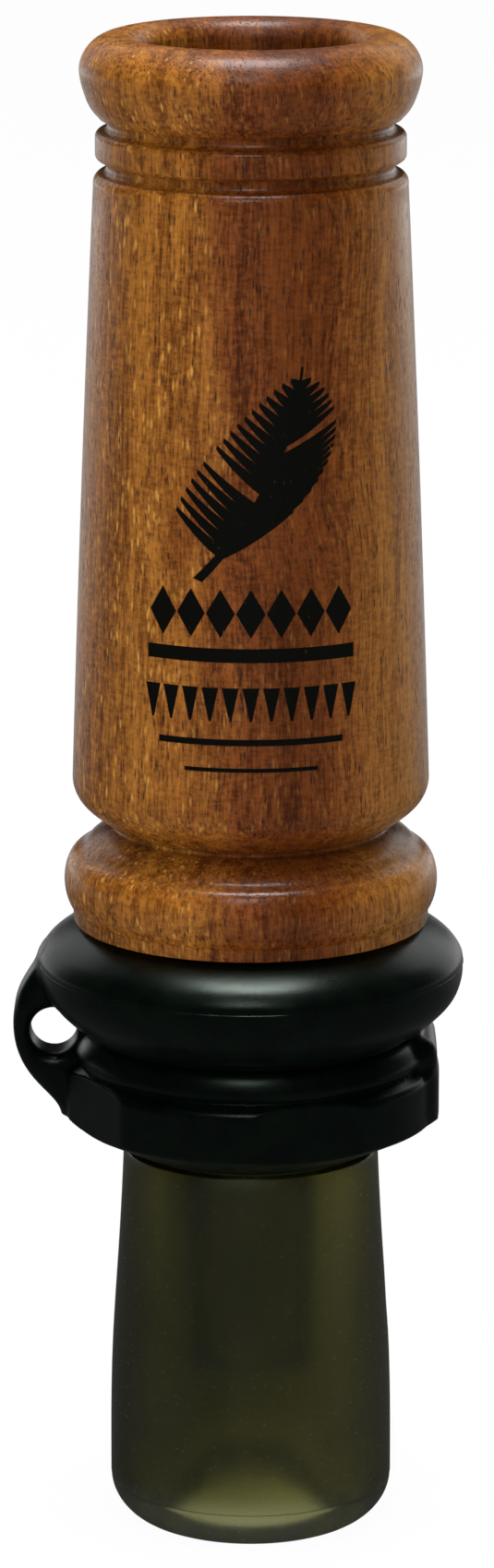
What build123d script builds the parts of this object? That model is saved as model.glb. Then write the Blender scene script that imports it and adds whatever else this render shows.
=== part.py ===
from build123d import *
import os
from math import radians, tan

# A blown tube call: a turned hardwood barrel and a translucent mouthpiece, joined
# by a moulded black collar that carries the lanyard lug and the reed unit.
# +Z runs up the call's axis, from the blown end to the open end of the barrel.
# The origin is the centre of the mouthpiece's lip, and +X is the side away from the lug.
# All sizes are in millimetres.

os.makedirs("parts", exist_ok=True)

# ---------------------------------------------------------------- driving sizes

# Levels along the axis.
SHANK_TOP_Z = 43.4
FLANGE_FOOT_Z = 34.7
SOCKET_FLOOR_Z = 44.0
BARREL_FOOT_Z = 55.1
SPIGOT_TOP_Z = 66.0
SOCKET_TOP_Z = 68.0
LIP_CREST_Z = 133.0

# Running clearances.
FIT = 0.07
SEAL_FIT = 0.05

# Barrel.
BORE_R = 9.525
BARREL_SOCKET_R = 10.02
BARREL_FOOT_R = 15.6
BEAD_R = 16.36
COVE_R = 12.05
BODY_FOOT_R = 15.6
BODY_TOP_R = 13.52
RING_R = 13.34
GROOVE_R = 12.35
LIP_R = 14.68

# Collar.
SPIGOT_R = BARREL_SOCKET_R - FIT
UPPER_FLANGE_R = 18.7
SEAT_R = 13.5
LOWER_FLANGE_R = 16.4
FLAT_DISTANCE = 15.63
FLAT_FOOT_Z = 36.2
FLAT_TOP_Z = 43.4
FLAT_TURNS = (71, 151, 209, 289)
NECK_R = 14.35
RIB_R = 15.7
PLUG_BORE_R = 7.0
SHANK_SOCKET_R = 10.26
PAD_HALF_WIDTH = 5.0
PAD_FOOT_Z = 37.6
PAD_INNER_X = 13.0
PAD_EDGE_R = 1.5

# Lanyard lug.
LUG_THICK = 5.0
LUG_EDGE_R = 1.4
LUG_INNER_X = -13.5
LUG_HOLE_R = 2.05
LUG_HOLE_FLARE = 0.9
LUG_HOLE_REACH = 5.2
LUG_HOLE_X = -17.4
LUG_HOLE_Z = 45.05

# Mouthpiece.
SHANK_R = SHANK_SOCKET_R - FIT
MOUTH_TOP_R = 11.28
MOUTH_WAIST_R = 12.36
MOUTH_FOOT_R = 12.54
MOUTH_RIM_R = 9.3
LIP_BORE_R = 7.6
LIP_BORE_TOP_Z = 9.0
CHAMBER_R = 8.0

# Seals: a ring of rectangular section with rounded edges, as an O-ring is once squeezed.
SEAL_WIDTH = 1.5
SEAL_EDGE_R = 0.4
SEAL_GROOVE_WIDTH = 1.8
SEAL_GROOVE_DEPTH = 1.15
BARREL_SEAL_LEVELS = {"upper": 63.2, "lower": 58.4}
MOUTHPIECE_SEAL_LEVELS = {"upper": 41.2, "lower": 37.4}
PLUG_SEAL_Z = 61.0

# Reed unit.
PLUG_R = PLUG_BORE_R - FIT
PLUG_FOOT_Z = 44.5
STOP_R = 9.2
STOP_THICK = 1.3
BOARD_R = 6.2
BOARD_FACE_Y = 0.5
BOARD_TIP_Z = 11.5
FACING_START_Z = 30.0
FACING_ANGLE = 3.8
TROUGH_HALF_WIDTH = 2.2
TROUGH_DEEP_Y = 2.6
TROUGH_END_Z = 14.5
POCKET_TOP_Z = 52.0
POCKET_HALF_WIDTH = 4.5
POCKET_DEPTH = 3.4
REED_THICK = 0.25
REED_HALF_WIDTH = 4.2
REED_TIP_Z = 12.6
BAND_Z = 35.0
BAND_WIDTH = 1.6
BAND_THICK = 0.8
WEDGE_FOOT_Z = 42.6


def save(name, shape):
    """Writes one sub-part to its own STEP file."""
    shape.label = name
    export_step(shape, f"parts/{name}.step")


def turned(outline):
    """Turns a closed outline of (radius, level) about the axis."""
    return revolve(make_face(Plane.XZ * outline), Axis.Z)


def ring(inner_r, outer_r, middle_z, width, edge_r):
    """A seal ring with rounded edges."""
    section = RectangleRounded(outer_r - inner_r, width, edge_r)
    centre = Pos((inner_r + outer_r) / 2, middle_z)
    return revolve(Plane.XZ * centre * section, Axis.Z)


def groove_cutter(bottom_r, outer_r, middle_z):
    """The ring of material that a seal groove takes away."""
    section = Rectangle(outer_r - bottom_r, SEAL_GROOVE_WIDTH)
    centre = Pos((bottom_r + outer_r) / 2, middle_z)
    return revolve(Plane.XZ * centre * section, Axis.Z)


# ---------------------------------------------------------------------- barrel


def make_barrel():
    """The turned hardwood tube."""
    foot = Polyline(
        (BARREL_SOCKET_R + 0.5, BARREL_FOOT_Z),
        (BARREL_FOOT_R - 0.15, BARREL_FOOT_Z),
        (BARREL_FOOT_R, BARREL_FOOT_Z + 0.2),
        (BARREL_FOOT_R, BARREL_FOOT_Z + 1.1),
    )
    bead = Spline(
        (BARREL_FOOT_R, BARREL_FOOT_Z + 1.1),
        (BEAD_R, 58.5),
        (16.2, 60.0),
        (15.35, 61.35),
        tangents=[(0.8, 1.0), (-1.0, 0.6)],
    )
    roll = Spline(
        (15.35, 61.35),
        (14.65, 61.8),
        (14.2, 62.3),
        (13.6, 62.8),
        (12.95, 63.2),
        (12.2, 63.5),
        tangents=[(-1.0, 0.5), (-1.0, 0.25)],
    )
    cove = ThreePointArc((12.2, 63.5), (COVE_R, 63.7), (12.2, 63.9))
    shoulder = Spline(
        (12.2, 63.9),
        (13.35, 64.62),
        (15.05, 66.2),
        (BODY_FOOT_R, 68.0),
        tangents=[(1.0, 0.3), (-0.03, 1.0)],
    )
    taper = ThreePointArc((BODY_FOOT_R, 68.0), (14.67, 94.0), (BODY_TOP_R, 120.1))
    body_edge = ThreePointArc((BODY_TOP_R, 120.1), (13.42, 120.7), (13.1, 121.05))
    lower_groove = ThreePointArc((13.1, 121.05), (GROOVE_R, 121.65), (13.0, 122.25))
    ring_foot = ThreePointArc((13.0, 122.25), (13.24, 122.42), (RING_R, 122.75))
    ring_side = Line((RING_R, 122.75), (RING_R, 124.15))
    ring_top = ThreePointArc((RING_R, 124.15), (13.24, 124.5), (13.0, 124.7))
    upper_groove = ThreePointArc((13.0, 124.7), (GROOVE_R - 0.1, 125.3), (13.0, 125.85))
    flare = Spline(
        (13.0, 125.85),
        (13.45, 126.35),
        (14.25, 127.9),
        (LIP_R, 129.9),
        tangents=[(0.7, 1.0), (0.05, 1.0)],
    )
    lip = Spline(
        (LIP_R, 129.9),
        (14.35, 131.2),
        (13.1, 132.55),
        (11.4, LIP_CREST_Z),
        tangents=[(0.0, 1.0), (-1.0, 0.0)],
    )
    mouth = Spline(
        (11.4, LIP_CREST_Z),
        (10.2, 132.6),
        (BORE_R, 131.3),
        tangents=[(-1.0, 0.0), (0.0, -1.0)],
    )
    inside = Polyline(
        (BORE_R, 131.3),
        (BORE_R, SOCKET_TOP_Z),
        (BARREL_SOCKET_R, SOCKET_TOP_Z),
        (BARREL_SOCKET_R, BARREL_FOOT_Z + 0.5),
        (BARREL_SOCKET_R + 0.5, BARREL_FOOT_Z),
    )
    return turned(
        foot
        + bead
        + roll
        + cove
        + shoulder
        + taper
        + body_edge
        + lower_groove
        + ring_foot
        + ring_side
        + ring_top
        + upper_groove
        + flare
        + lip
        + mouth
        + inside
    )


# ---------------------------------------------------------------------- collar


def collar_core():
    """The collar's turned form: spigot, upper flange, neck, rib and lower flange."""
    spigot = Polyline(
        (PLUG_BORE_R, SPIGOT_TOP_Z - 0.4),
        (PLUG_BORE_R + 0.4, SPIGOT_TOP_Z),
        (SPIGOT_R - 0.5, SPIGOT_TOP_Z),
        (SPIGOT_R, SPIGOT_TOP_Z - 0.5),
        (SPIGOT_R, BARREL_FOOT_Z - 0.02),
        (SEAT_R, BARREL_FOOT_Z - 0.02),
        (SEAT_R, 54.7),
        (15.2, 54.7),
    )
    crown = Spline(
        (15.2, 54.7),
        (16.75, 53.85),
        (17.8, 53.05),
        (18.4, 52.3),
        (UPPER_FLANGE_R, 51.5),
        tangents=[(1.0, -0.45), (0.0, -1.0)],
    )
    parting = Polyline(
        (UPPER_FLANGE_R, 51.5),
        (UPPER_FLANGE_R, 51.28),
        (UPPER_FLANGE_R + 0.08, 51.2),
        (UPPER_FLANGE_R, 51.12),
        (UPPER_FLANGE_R, 50.6),
    )
    underside = Spline(
        (UPPER_FLANGE_R, 50.6),
        (18.6, 49.75),
        (18.1, 48.4),
        (16.9, 47.0),
        (15.5, 45.85),
        (14.5, 45.4),
        tangents=[(0.0, -1.0), (-1.0, -0.35)],
    )
    neck = ThreePointArc((14.5, 45.4), (NECK_R, 45.22), (14.48, 45.05))
    rib = Spline(
        (14.48, 45.05),
        (15.2, 44.45),
        (15.58, 43.7),
        (RIB_R, 43.1),
        (15.5, 42.6),
        (15.18, 42.38),
        tangents=[(1.0, -0.4), (-1.0, -0.4)],
    )
    slope = Line((15.18, 42.38), (16.05, 41.86))
    edge = ThreePointArc((16.05, 41.86), (16.3, 41.58), (LOWER_FLANGE_R, 41.2))
    wall = Line((LOWER_FLANGE_R, 41.2), (LOWER_FLANGE_R, 37.5))
    foot_edge = ThreePointArc((LOWER_FLANGE_R, 37.5), (16.3, 37.28), (16.1, 37.15))
    inside = Polyline(
        (16.1, 37.15),
        (11.4, FLANGE_FOOT_Z + 0.1),
        (11.1, FLANGE_FOOT_Z),
        (SHANK_SOCKET_R + 0.3, FLANGE_FOOT_Z),
        (SHANK_SOCKET_R, FLANGE_FOOT_Z + 0.3),
        (SHANK_SOCKET_R, SOCKET_FLOOR_Z),
        (PLUG_BORE_R, SOCKET_FLOOR_Z),
        (PLUG_BORE_R, SPIGOT_TOP_Z - 0.4),
    )
    return turned(
        spigot
        + crown
        + parting
        + underside
        + neck
        + rib
        + slope
        + edge
        + wall
        + foot_edge
        + inside
    )


def lug_blank():
    """The lanyard lug before it is drilled: a fin in the XZ plane with soft edges."""
    outer = Spline(
        (-18.1, 52.3),
        (-18.95, 51.0),
        (-20.5, 48.3),
        (-20.95, 45.2),
        (-20.4, 42.6),
        (-19.35, 40.8),
        (-18.1, 39.4),
        (-17.1, 38.2),
        (-16.7, 37.3),
        tangents=[(-0.7, -1.0), (0.3, -1.0)],
    )
    inner = Polyline((-16.7, 37.3), (LUG_INNER_X, 37.3), (LUG_INNER_X, 52.3), (-18.1, 52.3))
    face = make_face(Plane.XZ * (outer + inner))
    fin = extrude(face, LUG_THICK / 2, both=True)
    rim = [e for e in fin.edges() if e.center().X < -UPPER_FLANGE_R and e.length > LUG_THICK]
    return fillet(rim, LUG_EDGE_R)


def opposite_pad():
    """The raised pad on the side away from the lug."""
    section = make_face(
        Plane.XZ
        * (
            Polyline((PAD_INNER_X, PAD_FOOT_Z), (LOWER_FLANGE_R, PAD_FOOT_Z), (LOWER_FLANGE_R, 43.6))
            + ThreePointArc((LOWER_FLANGE_R, 43.6), (16.1, 44.5), (15.4, 45.0))
            + Polyline((15.4, 45.0), (PAD_INNER_X, 45.9), (PAD_INNER_X, PAD_FOOT_Z))
        )
    )
    block = extrude(section, PAD_HALF_WIDTH, both=True)
    sides = [e for e in block.edges() if e.center().X > 15.4 and abs(e.center().Y) > PAD_EDGE_R]
    return fillet(sides, PAD_EDGE_R)


def flat_cutters():
    """Blocks that leave the four flats on the lower flange, two each side of the lug."""
    depth = 4.0
    block = Box(depth, 2 * LOWER_FLANGE_R, FLAT_TOP_Z - FLAT_FOOT_Z)
    first = Pos(FLAT_DISTANCE + depth / 2, 0, (FLAT_FOOT_Z + FLAT_TOP_Z) / 2) * block
    return [Rot(0, 0, turn) * first for turn in FLAT_TURNS]


def lanyard_hole_cutter():
    """The lanyard hole: a round bore through the lug, with both mouths flared.

    The bore runs on past the lug's faces, so that a cord clears the flange above it.
    """
    half = LUG_THICK / 2
    mouth = LUG_HOLE_R + LUG_HOLE_FLARE
    section = make_face(
        Polyline((0, -half - 0.5), (mouth, -half - 0.5), (mouth, -half))
        + RadiusArc((mouth, -half), (LUG_HOLE_R, LUG_HOLE_FLARE - half), -LUG_HOLE_FLARE)
        + Line((LUG_HOLE_R, LUG_HOLE_FLARE - half), (LUG_HOLE_R, half - LUG_HOLE_FLARE))
        + RadiusArc((LUG_HOLE_R, half - LUG_HOLE_FLARE), (mouth, half), -LUG_HOLE_FLARE)
        + Polyline((mouth, half), (mouth, half + 0.5), (0, half + 0.5), (0, -half - 0.5))
    )
    bore = Rot(90, 0, 0) * Cylinder(LUG_HOLE_R, 2 * LUG_HOLE_REACH)
    return Pos(LUG_HOLE_X, 0, LUG_HOLE_Z) * (revolve(section, Axis.Y) + bore)


def make_collar():
    """The moulded collar with its lug, pad, flats, bores and seal grooves."""
    body = collar_core()
    for cutter in flat_cutters():
        body -= cutter
    body += opposite_pad()
    body += lug_blank()
    body -= lanyard_hole_cutter()
    for level in BARREL_SEAL_LEVELS.values():
        body -= groove_cutter(SPIGOT_R - SEAL_GROOVE_DEPTH, SPIGOT_R + 1.0, level)
    return body


# ------------------------------------------------------------------ mouthpiece


def make_mouthpiece():
    """The blown tube: a shank for the collar, a gently flared wall and a rounded lip."""
    shank = Polyline(
        (CHAMBER_R, SHANK_TOP_Z - 0.3),
        (CHAMBER_R + 0.3, SHANK_TOP_Z),
        (SHANK_R - 0.4, SHANK_TOP_Z),
        (SHANK_R, SHANK_TOP_Z - 0.4),
        (SHANK_R, 34.3),
        (MOUTH_TOP_R - 0.2, 34.3),
        (MOUTH_TOP_R, 34.1),
    )
    wall = Spline(
        (MOUTH_TOP_R, 34.1),
        (11.73, 25.4),
        (MOUTH_WAIST_R, 15.5),
        (MOUTH_FOOT_R, 3.6),
        tangents=[(0.04, -1.0), (0.0, -1.0)],
    )
    lip = Spline(
        (MOUTH_FOOT_R, 3.6),
        (11.8, 1.5),
        (MOUTH_RIM_R, 0.0),
        tangents=[(0.0, -1.0), (-1.0, 0.0)],
    )
    inside = Polyline(
        (MOUTH_RIM_R, 0.0),
        (LIP_BORE_R + 0.5, 0.0),
        (LIP_BORE_R, 0.5),
        (LIP_BORE_R, LIP_BORE_TOP_Z),
        (CHAMBER_R, LIP_BORE_TOP_Z + 1.2),
        (CHAMBER_R, SHANK_TOP_Z - 0.3),
    )
    body = turned(shank + wall + lip + inside)
    for level in MOUTHPIECE_SEAL_LEVELS.values():
        body -= groove_cutter(SHANK_R - SEAL_GROOVE_DEPTH, SHANK_R + 1.0, level)
    return body


# ----------------------------------------------------------------------- seals


def make_seal(inside_of_r, outside_of_r, level):
    """A seal that sits in a groove cut in a shaft and fills the bore around it."""
    inner_r = outside_of_r - SEAL_GROOVE_DEPTH + SEAL_FIT
    return ring(inner_r, inside_of_r - SEAL_FIT, level, SEAL_WIDTH, SEAL_EDGE_R)


# ------------------------------------------------------------------- reed unit


def trough_cutter():
    """The air channel along the tone board and through the plug."""
    length = SPIGOT_TOP_Z + STOP_THICK + 1.0 - TROUGH_END_Z
    width = 2 * TROUGH_HALF_WIDTH
    depth = TROUGH_DEEP_Y - BOARD_FACE_Y
    section = Pos(0, BOARD_FACE_Y + depth / 2) * Rectangle(width, depth)
    section += Pos(0, TROUGH_DEEP_Y) * Circle(TROUGH_HALF_WIDTH)
    return extrude(Plane.XY.offset(TROUGH_END_Z) * section, length)


def facing_cutter():
    """What is removed in front of the tone board: flat, then sloping away to the tip."""
    drop = (FACING_START_Z - BOARD_TIP_Z + 1.0) * tan(radians(FACING_ANGLE))
    outline = Polyline(
        (-BOARD_R - 1.0, PLUG_FOOT_Z),
        (BOARD_FACE_Y, PLUG_FOOT_Z),
        (BOARD_FACE_Y, FACING_START_Z),
        (BOARD_FACE_Y + drop, BOARD_TIP_Z - 1.0),
        (-BOARD_R - 1.0, BOARD_TIP_Z - 1.0),
        close=True,
    )
    return extrude(make_face(Plane.YZ * outline), BOARD_R + 1.0, both=True)


def make_reed_base():
    """Plug, stop flange and tone board in one moulding."""
    board = Pos(0, 0, BOARD_TIP_Z) * Cylinder(
        BOARD_R, PLUG_FOOT_Z - BOARD_TIP_Z + 1.0, align=(Align.CENTER, Align.CENTER, Align.MIN)
    )
    board -= facing_cutter()
    plug = Pos(0, 0, PLUG_FOOT_Z) * Cylinder(
        PLUG_R, SPIGOT_TOP_Z - PLUG_FOOT_Z + 0.1, align=(Align.CENTER, Align.CENTER, Align.MIN)
    )
    stop = Pos(0, 0, SPIGOT_TOP_Z + 0.05) * Cylinder(
        STOP_R, STOP_THICK, align=(Align.CENTER, Align.CENTER, Align.MIN)
    )
    base = board + plug + stop
    pocket = Box(
        2 * POCKET_HALF_WIDTH,
        POCKET_DEPTH,
        POCKET_TOP_Z - PLUG_FOOT_Z + 1.0,
        align=(Align.CENTER, Align.MAX, Align.MIN),
    )
    base -= Pos(0, BOARD_FACE_Y, PLUG_FOOT_Z - 1.0) * pocket
    base -= trough_cutter()
    base -= groove_cutter(PLUG_R - SEAL_GROOVE_DEPTH, PLUG_R + 1.0, PLUG_SEAL_Z)
    return base


def strip(low_z, high_z, tip_round):
    """A flat length of reed on the tone board's face."""
    outline = Rectangle(2 * REED_HALF_WIDTH, high_z - low_z)
    shape = Pos(0, (low_z + high_z) / 2) * outline
    if tip_round:
        low_corners = shape.vertices().sort_by(Axis.Y)[:2]
        shape = fillet(low_corners, REED_HALF_WIDTH - 0.4)
    face_front = Plane.XZ.offset(-(BOARD_FACE_Y - REED_THICK))
    return extrude(face_front * shape, -REED_THICK)


def make_wedge():
    """The cork wedge: a tapered block pressed between the reed and the pocket's roof."""
    reed_side = BOARD_FACE_Y - REED_THICK
    roof_side = BOARD_FACE_Y - POCKET_DEPTH
    outline = Polyline(
        (reed_side, WEDGE_FOOT_Z),
        (reed_side, POCKET_TOP_Z - 0.3),
        (roof_side + 0.3, POCKET_TOP_Z - 0.3),
        (roof_side, PLUG_FOOT_Z + 0.2),
        (roof_side + 0.1, WEDGE_FOOT_Z),
        close=True,
    )
    return extrude(make_face(Plane.YZ * outline), POCKET_HALF_WIDTH - 0.1, both=True)


def make_band():
    """The rubber band round the tone board and the reed's root."""
    outer = board_section(BOARD_R + BAND_THICK, REED_THICK + BAND_THICK)
    inner = board_section(BOARD_R, REED_THICK)
    band = extrude(Plane.XY.offset(BAND_Z) * (outer - inner), BAND_WIDTH)
    return band


def board_section(radius, lift):
    """The tone board's half-round section, its flat raised towards -Y by the lift."""
    cut = Pos(0, BOARD_FACE_Y - lift) * Rectangle(
        2.2 * radius, 2.2 * radius, align=(Align.CENTER, Align.MIN)
    )
    return Circle(radius) & cut


save("barrel", make_barrel())
save("collar", make_collar())
save("mouthpiece", make_mouthpiece())
for place, level in BARREL_SEAL_LEVELS.items():
    save(f"barrel_seal_{place}", make_seal(BARREL_SOCKET_R, SPIGOT_R, level))
for place, level in MOUTHPIECE_SEAL_LEVELS.items():
    save(f"mouthpiece_seal_{place}", make_seal(SHANK_SOCKET_R, SHANK_R, level))
save("reed_base", make_reed_base())
save("reed_root", strip(FACING_START_Z, POCKET_TOP_Z - 0.5, False))
save("reed_tongue", strip(REED_TIP_Z, FACING_START_Z - 0.1, True))
save("reed_base_seal", make_seal(PLUG_BORE_R, PLUG_R, PLUG_SEAL_Z))
save("reed_wedge", make_wedge())
save("reed_band", make_band())
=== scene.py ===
"""Looks of the blown tube call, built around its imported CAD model, in metres."""

import math

import bpy
import numpy as np
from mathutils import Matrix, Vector


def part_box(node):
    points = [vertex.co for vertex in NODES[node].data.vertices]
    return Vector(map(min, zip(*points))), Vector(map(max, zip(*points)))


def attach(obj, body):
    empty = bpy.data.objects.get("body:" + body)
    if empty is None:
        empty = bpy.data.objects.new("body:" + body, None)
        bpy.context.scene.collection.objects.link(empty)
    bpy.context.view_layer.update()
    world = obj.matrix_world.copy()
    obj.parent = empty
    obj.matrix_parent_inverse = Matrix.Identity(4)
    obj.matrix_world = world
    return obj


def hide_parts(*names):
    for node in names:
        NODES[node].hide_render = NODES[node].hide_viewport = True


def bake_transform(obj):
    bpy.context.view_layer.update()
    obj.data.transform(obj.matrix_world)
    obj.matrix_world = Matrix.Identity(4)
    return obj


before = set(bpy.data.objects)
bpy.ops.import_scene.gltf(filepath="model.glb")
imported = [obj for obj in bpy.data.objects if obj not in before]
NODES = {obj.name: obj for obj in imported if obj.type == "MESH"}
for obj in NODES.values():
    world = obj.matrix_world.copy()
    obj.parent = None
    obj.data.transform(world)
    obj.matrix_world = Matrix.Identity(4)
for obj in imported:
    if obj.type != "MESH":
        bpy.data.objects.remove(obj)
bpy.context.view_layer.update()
MM = 0.001
TAU = 2 * math.pi
ARC_STEPS = 8
SPLINE_STEPS = 7


# ------------------------------------------------------------ outlines, in millimetres


def arc(a, middle, b, count):
    """Points on the arc from a through middle to b, without a itself."""
    (ax, ay), (mx, my), (bx, by) = a, middle, b
    aa, mm, bb = ax * ax + ay * ay, mx * mx + my * my, bx * bx + by * by
    d = 2 * (ax * (my - by) + mx * (by - ay) + bx * (ay - my))
    ux = (aa * (my - by) + mm * (by - ay) + bb * (ay - my)) / d
    uy = (aa * (bx - mx) + mm * (ax - bx) + bb * (mx - ax)) / d
    radius = math.hypot(ax - ux, ay - uy)
    first, centre, last = (
        math.atan2(y - uy, x - ux) for x, y in (a, middle, b)
    )
    sweep = (last - first) % TAU
    if (centre - first) % TAU > sweep:
        sweep -= TAU
    turns = [first + sweep * i / count for i in range(1, count + 1)]
    return [(ux + radius * math.cos(t), uy + radius * math.sin(t)) for t in turns]


def spline(points, start, end, count):
    """A smooth curve through points, with its end directions, without its first point."""
    p = np.array(points, float)
    chord = np.hypot(*np.diff(p, axis=0).T)
    n = len(p)
    matrix = np.zeros((n, n))
    right = np.zeros((n, 2))
    matrix[0, 0] = matrix[-1, -1] = 1
    right[0] = np.array(start) / np.hypot(*start)
    right[-1] = np.array(end) / np.hypot(*end)
    for i in range(1, n - 1):
        before, after = chord[i - 1], chord[i]
        matrix[i, i - 1 : i + 2] = after, 2 * (before + after), before
        right[i] = 3 * (
            after * (p[i] - p[i - 1]) / before + before * (p[i + 1] - p[i]) / after
        )
    slope = np.linalg.solve(matrix, right)
    found = []
    for i in range(n - 1):
        for step in range(1, count + 1):
            t = step / count
            found.append(
                tuple(
                    (1 + 2 * t) * (1 - t) ** 2 * p[i]
                    + t * (1 - t) ** 2 * chord[i] * slope[i]
                    + t * t * (3 - 2 * t) * p[i + 1]
                    - t * t * (1 - t) * chord[i] * slope[i + 1]
                )
            )
    return found


def trace(start, *steps):
    """The points of an outline.

    A step is a point, ("arc", middle, end[, count]) or ("spline", points, start, end).
    """
    points = [start]
    for step in steps:
        if step[0] == "arc":
            points += arc(points[-1], step[1], step[2], step[3] if len(step) > 3 else ARC_STEPS)
        elif step[0] == "spline":
            points += spline([points[-1]] + step[1], step[2], step[3], SPLINE_STEPS)
        else:
            points.append(step)
    return points


BARREL = trace(
    (10.52, 55.1),
    (15.45, 55.1),
    (15.55, 55.16),
    (15.6, 55.3),
    (15.6, 56.2),
    ("spline", [(16.36, 58.5), (16.2, 60.0), (15.35, 61.35)], (0.8, 1), (-1, 0.6)),
    (
        "spline",
        [(14.65, 61.8), (14.2, 62.3), (13.6, 62.8), (12.95, 63.2), (12.2, 63.5)],
        (-1, 0.5),
        (-1, 0.25),
    ),
    ("arc", (12.05, 63.7), (12.2, 63.9)),
    ("spline", [(13.35, 64.62), (15.05, 66.2), (15.6, 68.0)], (1, 0.3), (-0.03, 1)),
    ("arc", (14.67, 94.0), (13.52, 120.1), 30),
    ("arc", (13.42, 120.7), (13.1, 121.05)),
    ("arc", (12.35, 121.65), (13.0, 122.25)),
    ("arc", (13.24, 122.42), (13.34, 122.75)),
    (13.34, 124.15),
    ("arc", (13.24, 124.5), (13.0, 124.7)),
    ("arc", (12.25, 125.3), (13.0, 125.85)),
    ("spline", [(13.45, 126.35), (14.25, 127.9), (14.68, 129.9)], (0.7, 1), (0.05, 1)),
    ("spline", [(14.35, 131.2), (13.1, 132.55), (11.4, 133.0)], (0, 1), (-1, 0)),
    ("spline", [(10.2, 132.6), (9.525, 131.3)], (-1, 0), (0, -1)),
    *[(9.525, 131.3 - 4.0 * i) for i in range(1, 16)],
    (9.525, 68.0),
    (10.02, 68.0),
    (10.02, 55.6),
)

COLLAR_CORE = trace(
    (7.0, 44.0),
    (7.0, 65.6),
    (7.4, 66.0),
    (9.45, 66.0),
    (9.95, 65.5),
    (9.95, 64.1),
    (8.8, 64.1),
    (8.8, 62.3),
    (9.95, 62.3),
    (9.95, 59.3),
    (8.8, 59.3),
    (8.8, 57.5),
    (9.95, 57.5),
    (9.95, 55.08),
    (13.5, 55.08),
    (13.5, 54.7),
    (15.2, 54.7),
    ("spline", [(16.75, 53.85), (17.8, 53.05), (18.4, 52.3), (18.7, 51.5)], (1, -0.45), (0, -1)),
    (18.7, 50.6),
    (
        "spline",
        [(18.6, 49.75), (18.1, 48.4), (16.9, 47.0), (15.5, 45.85), (14.5, 45.4)],
        (0, -1),
        (-1, -0.35),
    ),
    ("arc", (14.35, 45.22), (14.48, 45.05)),
    (
        "spline",
        [(15.2, 44.45), (15.58, 43.7), (15.7, 43.1), (15.5, 42.6), (15.18, 42.38)],
        (1, -0.4),
        (-1, -0.4),
    ),
    (16.05, 41.86),
    ("arc", (16.3, 41.58), (16.4, 41.2)),
    (16.4, 37.5),
    ("arc", (16.3, 37.28), (16.1, 37.15)),
    (11.4, 34.8),
    (11.1, 34.7),
    (10.56, 34.7),
    (10.26, 35.0),
    (10.26, 44.0),
)

PAD = trace(
    (13.0, 37.6), (16.4, 37.6), (16.4, 43.6), ("arc", (16.1, 44.5), (15.4, 45.0)), (13.0, 45.9)
)

LUG = trace(
    (-16.0, 53.3),
    (-18.1, 52.3),
    (
        "spline",
        [
            (-18.95, 51.0),
            (-20.5, 48.3),
            (-20.95, 45.2),
            (-20.4, 42.6),
            (-19.35, 40.8),
            (-18.1, 39.4),
            (-17.1, 38.2),
            (-16.7, 37.3),
        ],
        (-0.7, -1),
        (0.3, -1),
    ),
    (-13.0, 37.3),
    (-13.0, 53.3),
)

SEAM_Z = 3.6
MOUTHPIECE = trace(
    (8.0, 43.1),
    (8.3, 43.4),
    (9.79, 43.4),
    (10.19, 43.0),
    (10.19, 42.1),
    (9.04, 42.1),
    (9.04, 40.3),
    (10.19, 40.3),
    (10.19, 38.3),
    (9.04, 38.3),
    (9.04, 36.5),
    (10.19, 36.5),
    (10.19, 34.3),
    (11.08, 34.3),
    (11.22, 34.24),
    (11.28, 34.1),
    ("spline", [(11.73, 25.4), (12.36, 15.5), (12.535, SEAM_Z + 0.16)], (0.04, -1), (0, -1)),
    (12.53, SEAM_Z + 0.08),
    (12.46, SEAM_Z),
    (12.5, SEAM_Z - 0.08),
    ("spline", [(11.8, 1.5), (9.3, 0.0)], (-0.02, -1), (-1, 0)),
    (8.1, 0.0),
    (7.75, 0.15),
    (7.6, 0.5),
    (7.6, 9.0),
    (8.0, 10.2),
)


# ----------------------------------------------------------------------------- meshes


def mesh_object(name, points, quads, normals=None, sharp=35):
    """A smooth-shaded mesh from points in millimetres and four-cornered faces."""
    mesh = bpy.data.meshes.new(name)
    mesh.vertices.add(len(points))
    mesh.vertices.foreach_set("co", (np.asarray(points) * MM).astype(np.float32).ravel())
    mesh.loops.add(quads.size)
    mesh.loops.foreach_set("vertex_index", quads.astype(np.int32).ravel())
    mesh.polygons.add(len(quads))
    mesh.polygons.foreach_set("loop_start", np.arange(0, quads.size, 4, dtype=np.int32))
    mesh.update(calc_edges=True)
    mesh.validate()
    mesh.shade_smooth()
    if normals is None:
        mesh.set_sharp_from_angle(angle=math.radians(sharp))
    else:
        mesh.normals_split_custom_set_from_vertices(normals.tolist())
    made = bpy.data.objects.new(name, mesh)
    bpy.context.scene.collection.objects.link(made)
    return made


def closed_grid(rows, columns):
    """The faces of a grid of points that closes on itself both ways."""
    i, j = np.meshgrid(np.arange(rows), np.arange(columns), indexing="ij")
    below, beside = (i + 1) % rows, (j + 1) % columns
    corners = (i * columns + j, below * columns + j, below * columns + beside, i * columns + beside)
    return np.stack(corners, -1).reshape(-1, 4)


def skin_faces(rows, across):
    """The faces of a thin closed skin: each row runs across its front, then back behind it."""
    columns = 2 * across
    i, j = np.meshgrid(np.arange(rows - 1), np.arange(columns), indexing="ij")
    beside = (j + 1) % columns
    corners = (i * columns + j, i * columns + beside, (i + 1) * columns + beside, (i + 1) * columns + j)
    sides = np.stack(corners, -1).reshape(-1, 4)
    k = np.arange(across - 1)
    first = np.stack([k, columns - 1 - k, columns - 2 - k, k + 1], -1)
    last = first[:, ::-1] + (rows - 1) * columns
    return np.concatenate([sides, first, last])


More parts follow.
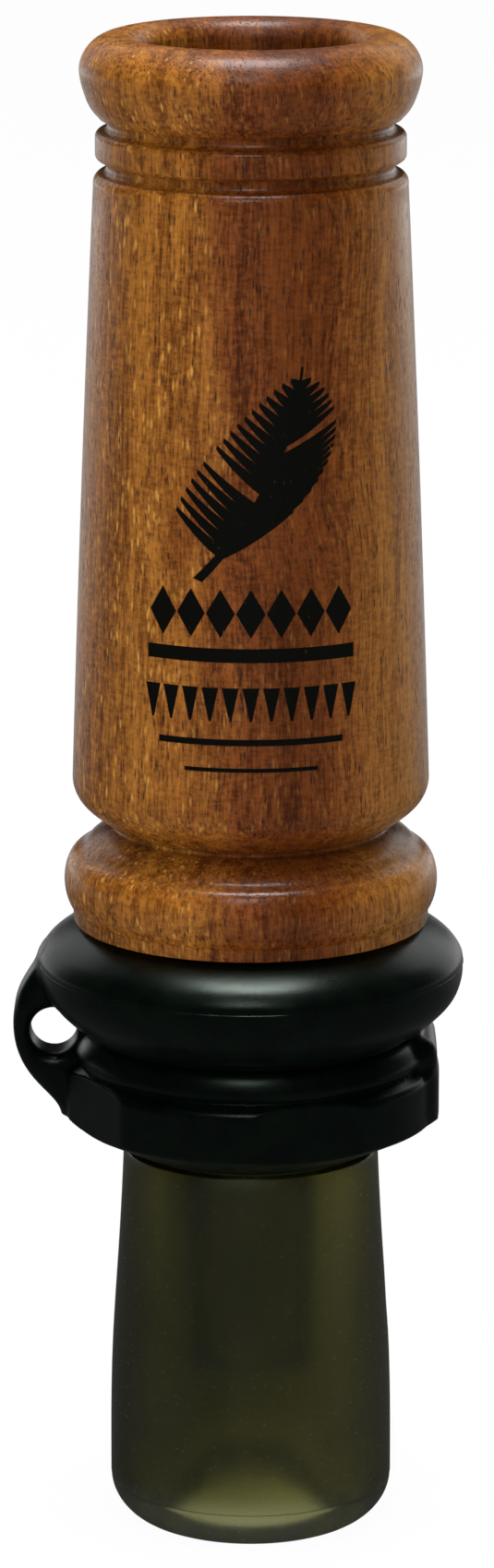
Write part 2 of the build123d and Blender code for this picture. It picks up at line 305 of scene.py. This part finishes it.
def lathe(name, outline, turns, worn=None, sharp=35):
    """Turns a closed outline of (radius, level) points about the axis."""
    ring = np.array(outline, float)
    following = np.roll(ring, -1, 0)
    if (ring[:, 0] * following[:, 1] - following[:, 0] * ring[:, 1]).sum() < 0:
        ring = ring[::-1]
    angle = np.arange(turns)[:, None] * TAU / turns
    radius = np.broadcast_to(ring[:, 0], (turns, len(ring)))
    level = np.broadcast_to(ring[:, 1], (turns, len(ring)))
    if worn:
        radius = radius + worn(angle, radius, level)
    points = np.stack([radius * np.cos(angle), radius * np.sin(angle), level], -1)
    return mesh_object(name, points.reshape(-1, 3), closed_grid(turns, len(ring)), sharp=sharp)


def signed_distance(outline, u, v):
    """Distance to a closed outline, negative inside it."""
    a = np.array(outline, float)
    nearest = np.full(np.broadcast(u, v).shape, np.inf)
    inside = np.zeros(nearest.shape, bool)
    for (au, av), (bu, bv) in zip(a, np.roll(a, -1, 0)):
        du, dv = bu - au, bv - av
        along = np.clip(((u - au) * du + (v - av) * dv) / (du * du + dv * dv), 0, 1)
        nearest = np.minimum(nearest, (u - au - along * du) ** 2 + (v - av - along * dv) ** 2)
        if av != bv:
            inside ^= ((av > v) != (bv > v)) & (u < au + (v - av) * du / dv)
    return np.where(inside, -1.0, 1.0) * np.sqrt(nearest)


class Section:
    """The signed distance to an outline, tabulated so that many points are looked up fast."""

    STEP = 0.06
    MARGIN = 1.5

    def __init__(self, outline):
        a = np.array(outline, float)
        self.low = a.min(0) - self.MARGIN
        size = np.ceil((a.max(0) + self.MARGIN - self.low) / self.STEP).astype(int) + 1
        u = self.low[0] + np.arange(size[0])[:, None] * self.STEP
        v = self.low[1] + np.arange(size[1])[None, :] * self.STEP
        self.table = signed_distance(outline, u, v)

    def __call__(self, u, v):
        top_u, top_v = self.table.shape[0] - 1.001, self.table.shape[1] - 1.001
        fu = np.clip((u - self.low[0]) / self.STEP, 0, top_u)
        fv = np.clip((v - self.low[1]) / self.STEP, 0, top_v)
        iu, iv = fu.astype(int), fv.astype(int)
        fu, fv = fu - iu, fv - iv
        t = self.table
        near = t[iu, iv] * (1 - fv) + t[iu, iv + 1] * fv
        far = t[iu + 1, iv] * (1 - fv) + t[iu + 1, iv + 1] * fv
        return near * (1 - fu) + far * fu


def joined(a, b, blend):
    """Union of two distance fields with a fillet."""
    h = np.maximum(blend - np.abs(a - b), 0) / blend
    return np.minimum(a, b) - h * h * blend / 4


def cut(a, b, blend):
    """Field a with field b taken out, with a rounded edge."""
    return -joined(-a, b, blend)


def slab(section, across, half, rounding):
    """A section extended by half to each side, with rounded edges."""
    a = section + rounding
    b = np.abs(across) - half + rounding
    outside = np.hypot(np.maximum(a, 0), np.maximum(b, 0))
    return outside + np.minimum(np.maximum(a, b), 0) - rounding


CORE_FIELD = Section(COLLAR_CORE)
PAD_FIELD = Section(PAD)
LUG_FIELD = Section(LUG)
FLAT_TURNS = (71, 151, 209, 289)
FLAT_DISTANCE = 15.63
FLAT_MIDDLE_Z = 39.8
FLAT_HALF = 3.6
FLAT_BLEND = 0.12
PAD_HALF = 5.0
PAD_ROUNDING = 1.5
PAD_BLEND = 1.1
LUG_HALF = 2.5
LUG_ROUNDING = 1.3
LUG_BLEND = 0.7
LUG_HOLE = (-17.4, 45.05, 2.05)
LUG_HOLE_REACH = 5.2
LUG_HOLE_BLEND = 1.5


def collar_field(x, y, z):
    """The collar's signed distance: its turned core with flats, the pad, the lug and its hole."""
    solid = CORE_FIELD(np.hypot(x, y), z)
    for degrees in FLAT_TURNS:
        turn = math.radians(degrees)
        beyond = FLAT_DISTANCE - x * math.cos(turn) - y * math.sin(turn)
        flat = np.maximum(beyond, np.abs(z - FLAT_MIDDLE_Z) - FLAT_HALF)
        solid = cut(solid, flat, FLAT_BLEND)
    solid = joined(solid, slab(PAD_FIELD(x, z), y, PAD_HALF, PAD_ROUNDING), PAD_BLEND)
    solid = joined(solid, slab(LUG_FIELD(x, z), y, LUG_HALF, LUG_ROUNDING), LUG_BLEND)
    hx, hz, radius = LUG_HOLE
    hole = np.maximum(np.hypot(x - hx, z - hz) - radius, np.abs(y) - LUG_HOLE_REACH)
    return cut(solid, hole, LUG_HOLE_BLEND)


def surface_net(field, low, step):
    """Points and four-cornered faces where a sampled field changes sign."""
    cells = tuple(n - 1 for n in field.shape)
    total = np.zeros(cells + (3,), np.float32)
    count = np.zeros(cells, np.float32)
    crossings = []
    for axis in range(3):
        first = [slice(None)] * 3
        second = [slice(None)] * 3
        first[axis], second[axis] = slice(None, -1), slice(1, None)
        a, b = field[tuple(first)], field[tuple(second)]
        at = np.argwhere((a < 0) != (b < 0))
        va, vb = a[tuple(at.T)], b[tuple(at.T)]
        place = at.astype(np.float32)
        place[:, axis] += va / (va - vb)
        one, two = [k for k in range(3) if k != axis]
        inner = np.all((at[:, [one, two]] > 0), 1)
        inner &= (at[:, one] < cells[one]) & (at[:, two] < cells[two])
        at, place, outward = at[inner], place[inner], (va < 0)[inner]
        for back_one in (0, 1):
            for back_two in (0, 1):
                cell = at.copy()
                cell[:, one] -= back_one
                cell[:, two] -= back_two
                key = tuple(cell.T)
                np.add.at(total, key, place)
                np.add.at(count, key, 1)
        crossings.append((axis, one, two, at, outward))
    number = np.full(cells, -1, np.int64)
    used = count > 0
    number[used] = np.arange(used.sum())
    points = low + step * total[used] / count[used][:, None]
    quads = []
    for axis, one, two, at, outward in crossings:
        ring = []
        for back_one, back_two in ((0, 0), (1, 0), (1, 1), (0, 1)):
            cell = at.copy()
            cell[:, one] -= back_one
            cell[:, two] -= back_two
            ring.append(number[tuple(cell.T)])
        ring = np.stack(ring, 1)
        flip = outward if axis == 1 else ~outward
        ring[flip] = ring[flip][:, ::-1]
        quads.append(ring)
    return points, np.concatenate(quads)


def slope_of(field, points, reach):
    """The unit slope of a field at points."""
    x, y, z = points.T
    slope = np.stack(
        [
            field(x + reach, y, z) - field(x - reach, y, z),
            field(x, y + reach, z) - field(x, y - reach, z),
            field(x, y, z + reach) - field(x, y, z - reach),
        ],
        1,
    )
    return slope / np.maximum(np.linalg.norm(slope, axis=1), 1e-9)[:, None]


def relaxed(points, quads, field):
    """Points evened out along the surface and put back onto it."""
    for _ in range(4):
        total = np.zeros_like(points)
        count = np.zeros(len(points))
        for k in range(4):
            a, b = quads[:, k], quads[:, (k + 1) % 4]
            for one, two in ((a, b), (b, a)):
                for c in range(3):
                    total[:, c] += np.bincount(one, points[two, c], len(points))
                count += np.bincount(one, minlength=len(points))
        points = 0.5 * points + 0.5 * total / count[:, None]
        for _ in range(2):
            points = points - field(*points.T)[:, None] * slope_of(field, points, 0.04)
    return points


GRID_STEP = 0.25


def moulded_collar():
    """The collar as one moulded mesh, with a small fillet wherever two shapes meet."""
    low = np.array([-21.7, -19.4, 34.2])
    size = np.ceil((np.array([19.5, 19.4, 66.6]) - low) / GRID_STEP).astype(int)
    x, y, z = (low[k] + GRID_STEP * np.arange(size[k]) for k in range(3))
    sampled = collar_field(x[:, None, None], y[None, :, None], z[None, None, :])
    points, quads = surface_net(sampled, low, GRID_STEP)
    points = relaxed(points.astype(float), quads, collar_field)
    return mesh_object("collar_body", points, quads, slope_of(collar_field, points, 0.07))


# -------------------------------------------------------------------------- materials


class Recipe:
    """A procedural material under construction. Lengths are in millimetres."""

    def __init__(self, name):
        self.material = bpy.data.materials.new(name)
        self.material.use_nodes = True
        self.tree = self.material.node_tree
        self.shader = self.tree.nodes["Principled BSDF"]
        place = self.node("TexCoord").outputs["Object"]
        self.place = self.stretch(place, (1000, 1000, 1000))

    def put(self, socket, value):
        if isinstance(value, bpy.types.NodeSocket):
            self.tree.links.new(value, socket)
        else:
            socket.default_value = value

    def node(self, kind, **settings):
        made = self.tree.nodes.new("ShaderNode" + kind)
        for key, value in settings.items():
            setattr(made, key, value)
        return made

    def axes(self):
        made = self.node("SeparateXYZ")
        self.put(made.inputs[0], self.place)
        return made.outputs

    def math(self, operation, *values, clamp=False):
        made = self.node("Math", operation=operation, use_clamp=clamp)
        for socket, value in zip(made.inputs, values):
            self.put(socket, value)
        return made.outputs[0]

    def stretch(self, vector, scale):
        made = self.node("VectorMath", operation="MULTIPLY")
        self.put(made.inputs[0], vector)
        self.put(made.inputs[1], scale)
        return made.outputs[0]

    def noise(self, scale, detail=2.0, rough=0.5, vector=None, distortion=0.0):
        made = self.node("TexNoise")
        self.put(made.inputs["Vector"], self.stretch(vector or self.place, scale))
        self.put(made.inputs["Scale"], 1.0)
        self.put(made.inputs["Detail"], detail)
        self.put(made.inputs["Roughness"], rough)
        self.put(made.inputs["Distortion"], distortion)
        return made.outputs[0]

    def cells(self, scale, vector=None):
        made = self.node("TexVoronoi")
        self.put(made.inputs["Vector"], self.stretch(vector or self.place, scale))
        self.put(made.inputs["Scale"], 1.0)
        return made.outputs["Distance"]

    def span(self, value, low, high, to_low=0.0, to_high=1.0):
        made = self.node("MapRange", interpolation_type="SMOOTHSTEP")
        for socket, number in zip(made.inputs, (value, low, high, to_low, to_high)):
            self.put(socket, number)
        return made.outputs[0]

    def mix(self, amount, a, b, blend="MIX"):
        made = self.node("Mix", data_type="RGBA", blend_type=blend)
        self.put(made.inputs[0], amount)
        self.put(made.inputs[6], (*a, 1) if isinstance(a, tuple) else a)
        self.put(made.inputs[7], (*b, 1) if isinstance(b, tuple) else b)
        return made.outputs[2]

    def bump(self, height, strength, distance):
        made = self.node("Bump")
        self.put(made.inputs["Strength"], strength)
        self.put(made.inputs["Distance"], distance * MM)
        self.put(made.inputs["Height"], height)
        self.put(self.shader.inputs["Normal"], made.outputs[0])

    def finish(self, **values):
        for name, value in values.items():
            socket = self.shader.inputs[name.replace("_", " ")]
            self.put(socket, (*value, 1) if isinstance(value, tuple) else value)
        return self.material


def wood():
    """Semi-gloss reddish hardwood with upright grain and open pores, with a painted golden sheen on its
    left side, a painted shade band right of its middle and a painted sheen on its right edge.
    """
    r = Recipe("barrel_wood")
    sway = r.noise((0.05, 0.05, 0.035), 1.0)
    sway = r.math("MULTIPLY_ADD", sway, 5.0, -2.5)
    shift = r.node("CombineXYZ")
    r.put(shift.inputs[0], sway)
    r.put(shift.inputs[1], sway)
    bent = r.node("VectorMath", operation="ADD")
    r.put(bent.inputs[0], r.place)
    r.put(bent.inputs[1], shift.outputs[0])
    grain = bent.outputs[0]
    x, y, z = r.axes()

    wide = r.noise((0.4, 0.4, 0.008), 3.0, 0.6, grain)
    streak = r.noise((1.7, 1.7, 0.05), 4.0, 0.65, grain)
    fibre = r.noise((4.2, 4.2, 0.38), 4.0, 0.7, grain)
    ripple = r.noise((1.1, 1.1, 2.6), 4.0, 0.7)
    sheen_wobble = r.noise((0.2, 0.2, 0.11), 2.0, 0.5)

    # painted sheen: a golden colour laid over the barrel's left side stands in for the wood's
    # shimmering reflection there; the noise only wobbles its edge
    side = r.math("ADD", r.math("MULTIPLY", x, -0.085), r.math("MULTIPLY", y, -0.01))
    side = r.math("ADD", side, r.math("MULTIPLY_ADD", sheen_wobble, 1.3, -0.65))
    painted_sheen_left = r.span(side, 0.1, 0.95)
    tone = r.math("MULTIPLY_ADD", streak, 0.3, r.math("MULTIPLY", wide, 0.35))
    tone = r.math("MULTIPLY_ADD", fibre, 0.5, tone)
    tone = r.math("MULTIPLY_ADD", ripple, 0.38, tone)
    tone = r.span(tone, 0.6, 0.94)

    red = r.mix(tone, (0.05, 0.0098, 0.0014), (0.225, 0.058, 0.008))
    painted_sheen_gold = r.mix(tone, (0.1, 0.025, 0.003), (0.42, 0.158, 0.02))
    colour = r.mix(painted_sheen_left, red, painted_sheen_gold)
    # painted shade: a darker vertical band painted a little right of the barrel's middle
    deep = r.math("MULTIPLY", r.span(x, -1.0, 3.0), r.span(x, 9.0, 5.0))
    colour = r.mix(r.math("MULTIPLY", deep, 0.4), colour, (0.035, 0.0072, 0.0011))

    # painted sheen: the barrel's right edge is painted paler, standing in for light from the right
    far = r.span(x, 5.5, 14.5)
    painted_sheen_right = r.mix(tone, (0.17, 0.055, 0.0075), (0.42, 0.19, 0.036))
    colour = r.mix(r.math("MULTIPLY", far, 0.85), colour, painted_sheen_right)

    fleck = r.span(r.cells((2.2, 2.2, 0.6), grain), 0.42, 0.14)
    fleck = r.math("MULTIPLY", fleck, r.span(r.noise((0.8, 0.8, 0.3), 3.0), 0.45, 0.62))
    # the flecks are made stronger inside the painted golden sheen
    fleck = r.math("MULTIPLY", fleck, r.math("MULTIPLY_ADD", painted_sheen_left, 0.6, 0.12))
    colour = r.mix(fleck, colour, (0.66, 0.32, 0.06))

    pore = r.span(r.cells((3.4, 3.4, 0.5), grain), 0.34, 0.12)
    pore = r.math("MULTIPLY", pore, r.span(r.noise((0.6, 0.6, 0.25), 3.0), 0.36, 0.58))
    speck = r.span(r.cells((3.6, 3.6, 1.9)), 0.22, 0.08)
    dark = r.math("MAXIMUM", pore, r.math("MULTIPLY", speck, 0.75))
    colour = r.mix(r.math("MULTIPLY", dark, 0.8), colour, (0.012, 0.0032, 0.0008))

    height = r.math("MULTIPLY_ADD", dark, -1.0, r.math("MULTIPLY", fibre, 0.5))
    r.bump(height, 0.35, 0.08)
    rough = r.math("MULTIPLY_ADD", fibre, 0.12, 0.18)
    rough = r.math("MULTIPLY_ADD", dark, 0.25, rough)
    rough = r.math("MULTIPLY_ADD", r.span(z, 129.6, 131.6), 0.16, rough)
    return r.finish(
        Base_Color=colour,
        Roughness=rough,
        Specular_IOR_Level=0.32,
        Coat_Weight=0.06,
        Coat_Roughness=0.14,
    )


def black_plastic(name="collar_plastic", base=(0.0002, 0.0009, 0.0005), rough=0.24):
    """Near-black moulded plastic with a fine satin grain and faint handling marks."""
    r = Recipe(name)
    grain = r.noise((9.0, 9.0, 9.0), 3.0, 0.7)
    cloud = r.noise((0.35, 0.35, 0.35), 3.0, 0.55)
    mark = r.noise((0.9, 0.9, 6.0), 4.0, 0.75, distortion=0.6)
    mark = r.span(mark, 0.62, 0.74)
    light = tuple(2.6 * c for c in base)
    colour = r.mix(r.span(cloud, 0.35, 0.7), base, light)
    colour = r.mix(r.math("MULTIPLY", mark, 0.3), colour, (0.005, 0.008, 0.006))
    r.bump(r.math("MULTIPLY_ADD", mark, 0.4, grain), 0.22, 0.022)
    roughness = r.math("MULTIPLY_ADD", grain, 0.12, rough - 0.05)
    roughness = r.math("MULTIPLY_ADD", cloud, 0.08, roughness)
    return r.finish(
        Base_Color=colour,
        Roughness=roughness,
        Specular_IOR_Level=0.32,
        Specular_Tint=(0.82, 1.0, 0.88),
    )


def smoke_plastic():
    """Smoke-tinted translucent plastic, a little cloudy inside and softly polished outside, with
    painted light on its right side and along its bottom band.
    """
    r = Recipe("mouthpiece_plastic")
    cloud = r.noise((0.16, 0.16, 0.1), 3.0, 0.5)
    haze = r.noise((1.2, 1.2, 0.5), 3.0, 0.6)
    scuff = r.noise((2.2, 2.2, 9.0), 5.0, 0.7, distortion=0.8)
    tint = r.mix(r.span(cloud, 0.3, 0.7), (0.31, 0.3, 0.12), (0.42, 0.405, 0.17))
    x, _, z = r.axes()
    # painted light: paler towards the right side, standing in for light from the right shining through
    tint = r.mix(r.span(x, 0.0, 10.0), tint, (0.72, 0.69, 0.31))
    # painted light: paler below the seam, standing in for light that comes up through the lip
    painted_glow_low = r.span(z, 5.5, 2.5)
    tint = r.mix(painted_glow_low, tint, (0.9, 0.92, 0.7))
    rough = r.math("MULTIPLY_ADD", haze, 0.12, 0.16)
    rough = r.math("MULTIPLY_ADD", r.span(scuff, 0.6, 0.75), 0.12, rough)
    r.bump(haze, 0.15, 0.05)
    absorb = r.node("VolumeAbsorption")
    absorb.inputs["Color"].default_value = (0.7, 0.696, 0.58, 1)
    absorb.inputs["Density"].default_value = 1000.0
    output = r.tree.nodes["Material Output"]
    r.tree.links.new(absorb.outputs[0], output.inputs["Volume"])
    return r.finish(
        Base_Color=tint,
        Roughness=rough,
        Transmission_Weight=0.975,
        IOR=1.49,
        Specular_Tint=(0.86, 1.0, 0.84),
    )


def rubber():
    """Matte black rubber with a faint bloom."""
    r = Recipe("seal_rubber")
    bloom = r.noise((2.5, 2.5, 2.5), 4.0, 0.65)
    grain = r.noise((14.0, 14.0, 14.0), 2.0)
    colour = r.mix(r.span(bloom, 0.4, 0.7), (0.008, 0.008, 0.009), (0.026, 0.026, 0.028))
    r.bump(grain, 0.3, 0.02)
    return r.finish(
        Base_Color=colour, Roughness=r.math("MULTIPLY_ADD", bloom, 0.25, 0.55)
    )


def film():
    """Clear satin film with a warm tint and fine lengthwise brushing."""
    r = Recipe("reed_film")
    brush = r.noise((9.0, 9.0, 0.3), 3.0, 0.7)
    colour = r.mix(brush, (0.52, 0.48, 0.36), (0.82, 0.79, 0.68))
    r.bump(brush, 0.2, 0.01)
    return r.finish(
        Base_Color=colour,
        Roughness=r.math("MULTIPLY_ADD", brush, 0.25, 0.2),
        Transmission_Weight=0.35,
    )


def cork():
    """Raw cork with dark lenticels and crumbly pits."""
    r = Recipe("wedge_cork")
    crumb = r.noise((2.4, 2.4, 2.4), 5.0, 0.7)
    pit = r.span(r.cells((1.6, 1.6, 1.0)), 0.32, 0.12)
    colour = r.mix(crumb, (0.3, 0.15, 0.06), (0.72, 0.5, 0.29))
    colour = r.mix(pit, colour, (0.09, 0.04, 0.018))
    r.bump(r.math("MULTIPLY_ADD", pit, -1.0, crumb), 0.6, 0.15)
    return r.finish(Base_Color=colour, Roughness=0.85)


def ink():
    """Black printing ink that lets a little of the wood's grain through."""
    r = Recipe("mark_ink")
    worn = r.noise((3.0, 3.0, 1.1), 4.0, 0.7)
    colour = r.mix(r.span(worn, 0.66, 0.76), (0.0018, 0.0018, 0.0008), (0.14, 0.055, 0.012))
    r.bump(worn, 0.3, 0.03)
    return r.finish(
        Base_Color=colour,
        Roughness=r.math("MULTIPLY_ADD", worn, 0.2, 0.34),
        Specular_IOR_Level=0.25,
    )


# --------------------------------------------------------------------------- ink mark

INK_PROUD = 0.02
INK_BURIED = 0.06


def body_radius(z):
    """Radius of the barrel's long taper at a level."""
    outline = np.array([p for p in BARREL if 67.9 < p[1] < 120.2 and p[0] > 12])
    return np.interp(z, outline[:, 1], outline[:, 0])


def wrapped(x, z, proud):
    """Points of a flat drawing laid round the front of the barrel."""
    radius = body_radius(z)
    angle = x / radius
    return np.stack(
        [(radius + proud) * np.sin(angle), -(radius + proud) * np.cos(angle), z], -1
    )


def patch(left, right):
    """A thin closed skin of ink between two lines of (x, z) points."""
    across = 8
    share = np.linspace(0, 1, across)[None, :, None]
    flat = left[:, None, :] * (1 - share) + right[:, None, :] * share
    x, z = flat[..., 0], flat[..., 1]
    top = wrapped(x, z, INK_PROUD)
    under = wrapped(x, z, -INK_BURIED)[:, ::-1]
    points = np.concatenate([top, under], 1)
    return points.reshape(-1, 3), skin_faces(len(left), across)


def line_between(points, count):
    """Evenly spaced points along a broken line."""
    p = np.array(points, float)
    reach = np.concatenate([[0], np.cumsum(np.hypot(*np.diff(p, axis=0).T))])
    at = np.linspace(0, reach[-1], count)
    return np.stack([np.interp(at, reach, p[:, 0]), np.interp(at, reach, p[:, 1])], -1)


def bar(x0, x1, z0, z1):
    """A plain bar."""
    return patch(line_between([(x0, z1), (x1, z1)], 24), line_between([(x0, z0), (x1, z0)], 24))


def feather_patches():
    """A generic feather: a quill and separate barbs that sweep up from it."""
    parts = []
    foot, tip = np.array([-4.6, 88.4]), np.array([4.4, 106.6])

    def quill(t):
        bend = np.array([1.6, -0.7]) * 4 * t * (1 - t)
        return foot + (tip - foot) * t + bend

    def half_width(t):
        return 6.6 * math.sin(math.pi * min(1, (t + 0.06) ** 0.75)) ** 0.6 * (1 - 0.2 * t)

    along = np.linspace(0, 1, 30)
    spine = np.array([quill(t) for t in along])
    thick = 0.4 * (1 - 0.75 * along)[:, None]
    parts.append(patch(spine - thick * [1, -0.4], spine + thick * [1, -0.4]))
    barbs = 19
    for side in (-1, 1):
        for k in range(barbs):
            t = 0.15 + 0.81 * k / (barbs - 1)
            if (side, k) in ((-1, 6), (1, 11)):
                continue
            root = quill(t)
            reach = half_width(t)
            out = np.array([side * 0.86, 0.0]) * reach + np.array([0.35, 0.95]) * reach * 0.5
            s = np.linspace(0.02, 1, 12)[:, None]
            curve = root + out * s + np.array([0.15 * side, 0.9]) * (s * s) * reach * 0.18
            width = 0.54 * (1 - 0.66 * s**2)
            parts.append(patch(curve - width * [0.2, 1], curve + width * [0.2, 1]))
    return parts


def mark_patches():
    """The whole mark: a feather, a row of lozenges, a heavy rule, a row of teeth, two fine rules."""
    parts = feather_patches()
    lozenges = 7
    for k in range(lozenges):
        x = -7.8 + 15.6 * k / (lozenges - 1)
        top = line_between([(x - 1.25, 85.6), (x, 87.7), (x + 1.25, 85.6)], 17)
        low = line_between([(x - 1.25, 85.6), (x, 83.5), (x + 1.25, 85.6)], 17)
        parts.append(patch(top, low))
    parts.append(bar(-9.3, 9.3, 81.4, 82.6))
    teeth = 11
    for k in range(teeth):
        x = -8.8 + 17.6 * k / (teeth - 1)
        top = line_between([(x - 0.72, 79.2), (x + 0.72, 79.2)], 9)
        low = line_between([(x - 0.1, 76.3), (x + 0.1, 76.3)], 9)
        parts.append(patch(top, low))
    parts.append(bar(-8.2, 8.2, 74.2, 74.75))
    parts.append(bar(-5.8, 5.8, 71.9, 72.25))
    return parts


def printed_mark():
    """All the ink as one piece."""
    points, quads, start = [], [], 0
    for p, q in mark_patches():
        points.append(p)
        quads.append(q + start)
        start += len(p)
    return mesh_object("barrel_mark", np.concatenate(points), np.concatenate(quads), sharp=30)


# ----------------------------------------------------------------------------- pieces


def reed_strip():
    """The whole reed as one thin strip with a rounded tip."""
    tongue_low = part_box("reed_tongue")[0]
    root_low, root_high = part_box("reed_root")
    tip, end = tongue_low.z / MM, root_high.z / MM
    half = root_high.x / MM
    back, front = root_high.y / MM, root_low.y / MM
    rounded = 0.7
    spacing = 0.8
    levels = tip + half * (1 - np.cos(np.linspace(0, math.pi / 2, 14))) * rounded
    straight = np.arange(levels[-1] + spacing, end - spacing / 2, spacing)
    levels = np.concatenate([levels, straight, [end]])
    rise = np.clip((levels - tip) / (rounded * half), 0, 1)
    width = half * np.sqrt(np.clip(1 - (1 - rise) ** 2, 0.0016, 1))
    across = np.linspace(-1, 1, 13)
    x = width[:, None] * across[None, :]
    z = np.broadcast_to(levels[:, None], x.shape)
    face = np.stack([x, np.full(x.shape, front), z], -1)
    rear = np.stack([x, np.full(x.shape, back), z], -1)[:, ::-1]
    points = np.concatenate([face, rear], 1)
    return mesh_object("reed_strip", points.reshape(-1, 3), skin_faces(len(levels), len(across)))


def mouthpiece_wear(angle, radius, level):
    """Two small nicks on the outer wall."""
    dents = 0.0
    for turn, z, width, height, deep in (
        (0.02, 19.6, 0.05, 1.3, 0.16),
        (0.05, 17.0, 0.035, 0.7, 0.12),
        (-1.9, 9.0, 0.03, 0.5, 0.08),
    ):
        around = (angle - turn + math.pi) % TAU - math.pi
        dents = dents - deep * np.exp(-((around / width) ** 2) - ((level - z) / height) ** 2)
    return dents * (radius > 10.9)


def parting_wear(angle, radius, level):
    """A mould line that is broken and uneven along its length."""
    uneven = sum(
        math.pow(0.62, k) * np.sin(angle * f + p)
        for k, (f, p) in enumerate(((7, 0.4), (17, 2.1), (41, 4.4), (97, 1.2), (211, 3.3)))
    )
    return np.clip(0.02 * uneven - 0.022, -0.09, 0.0) * (radius > 18.69)


def dress(piece, body, material, nodes=()):
    """Puts a piece on its body with its slot, its material and the CAD nodes it stands for."""
    piece.data.materials.clear()
    piece.data.materials.append(material)
    if body:
        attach(piece, body)
    if nodes:
        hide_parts(*nodes)
    return piece


def carry(node, material):
    """Gives a CAD node that stays a better material."""
    found = NODES[node]
    found.data.materials.clear()
    found.data.materials.append(material)


COLLAR_BLACK = black_plastic()
WOOD = wood()
RUBBER = rubber()

dress(lathe("barrel_turning", BARREL, 288), "barrel", WOOD, ["barrel"])
dress(printed_mark(), "barrel", ink())
dress(moulded_collar(), "collar", COLLAR_BLACK, ["collar"])
parting = lathe(
    "collar_parting_line",
    [(18.4, 51.0), (18.69, 51.1), (18.76, 51.17), (18.76, 51.23), (18.69, 51.3), (18.4, 51.4)],
    720,
    parting_wear,
    60,
)
dress(parting, "collar", COLLAR_BLACK)
dress(
    lathe("mouthpiece_tube", MOUTHPIECE, 288, mouthpiece_wear),
    "mouthpiece",
    smoke_plastic(),
    ["mouthpiece"],
)
strip = dress(reed_strip(), None, film(), ["reed_root", "reed_tongue"])
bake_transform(strip)

for place in ("upper", "lower"):
    carry(f"barrel_seal_{place}", RUBBER)
    carry(f"mouthpiece_seal_{place}", RUBBER)
carry("reed_base_seal", RUBBER)
carry("reed_band", RUBBER)
carry("reed_wedge", cork())
carry("reed_base", black_plastic("reed_base_plastic", (0.012, 0.012, 0.012), 0.42))


# ------------------------------------------------------------------ floor, light, camera


FLOOR_HALF = 6.0
FLOOR_GLOW = 0.97
WORLD_SEEN = 0.92
WORLD_LIGHT = 0.02


def stage_floor():
    """A plain floor, white to the camera and through the plastic, dimmer to reflections."""
    half = FLOOR_HALF
    mesh = bpy.data.meshes.new("floor")
    mesh.from_pydata(
        [(-half, -half, 0), (half, -half, 0), (half, half, 0), (-half, half, 0)], [], [(0, 1, 2, 3)]
    )
    floor = bpy.data.objects.new("floor", mesh)
    bpy.context.scene.collection.objects.link(floor)
    r = Recipe("floor_white")
    path = r.node("LightPath").outputs
    mirrored = r.math("SUBTRACT", path["Is Glossy Ray"], path["Is Transmission Ray"], clamp=True)
    dim = r.span(r.axes()[1], 60, 420, 0.95, 0.45)
    level = r.math("MULTIPLY_ADD", mirrored, r.math("MULTIPLY", dim, -1.0), FLOOR_GLOW)
    mesh.materials.append(
        r.finish(
            Base_Color=(0.03, 0.03, 0.03),
            Roughness=0.9,
            Specular_IOR_Level=0.0,
            Emission_Color=(1, 1, 1),
            Emission_Strength=level,
        )
    )


def area_light(name, place, aim, size, power):
    """A soft rectangular light that faces a point."""
    data = bpy.data.lights.new(name, "AREA")
    data.shape = "RECTANGLE"
    data.size, data.size_y = size
    data.energy = power
    lamp = bpy.data.objects.new(name, data)
    lamp.location = place
    lamp.rotation_euler = (Vector(aim) - Vector(place)).to_track_quat("-Z", "Y").to_euler()
    bpy.context.scene.collection.objects.link(lamp)
    return lamp


def studio():
    """Soft light: a key and a fill in front, a soft box and a sun above, white cards behind."""
    area_light("key", (-0.03, -0.42, 0.46), (0, 0, 0.08), (0.16, 0.14), 0.38)
    area_light("top_box", (0.0, -0.02, 0.75), (0, 0, 0.08), (0.3, 0.3), 5.6)
    area_light("fill", (-0.12, -0.85, 0.35), (0, 0, 0.07), (0.8, 0.6), 3.3).visible_glossy = False
    area_light("left_card", (-0.45, 0.64, 0.2), (0, 0, 0.07), (0.45, 0.9), 0.9)
    area_light("right_card", (0.45, 0.64, 0.2), (0, 0, 0.07), (0.45, 0.9), 1.2)
    area_light("back_panel", (0, 0.8, 0.9), (0, 0, 0.08), (1.2, 0.6), 0.9)
    sun = bpy.data.objects.new("ceiling", bpy.data.lights.new("ceiling", "SUN"))
    sun.data.energy = 0.6
    sun.data.angle = math.radians(50)
    sun.rotation_euler = (math.radians(25), 0, 0)
    sun.visible_glossy = False
    bpy.context.scene.collection.objects.link(sun)
    world = bpy.data.worlds.new("studio")
    world.use_nodes = True
    tree = world.node_tree
    back = tree.nodes["Background"]
    back.inputs["Color"].default_value = (1, 1, 1, 1)
    path = tree.nodes.new("ShaderNodeLightPath")
    level = tree.nodes.new("ShaderNodeMapRange")
    level.inputs["To Min"].default_value = WORLD_LIGHT
    level.inputs["To Max"].default_value = WORLD_SEEN
    tree.links.new(path.outputs["Is Camera Ray"], level.inputs["Value"])
    tree.links.new(level.outputs[0], back.inputs["Strength"])
    bpy.context.scene.world = world
    bpy.context.scene.view_settings.view_transform = "Standard"


def photo_camera():
    """The camera at the photograph's angle."""
    data = bpy.data.cameras.new("photo_camera")
    data.lens = 146.84
    data.sensor_width = 36
    camera = bpy.data.objects.new("photo_camera", data)
    camera.location = (-0.00033, -0.544, 0.2027)
    camera.rotation_euler = (math.radians(76), 0, 0)
    bpy.context.scene.collection.objects.link(camera)
    bpy.context.scene.camera = camera


stage_floor()
studio()
photo_camera()
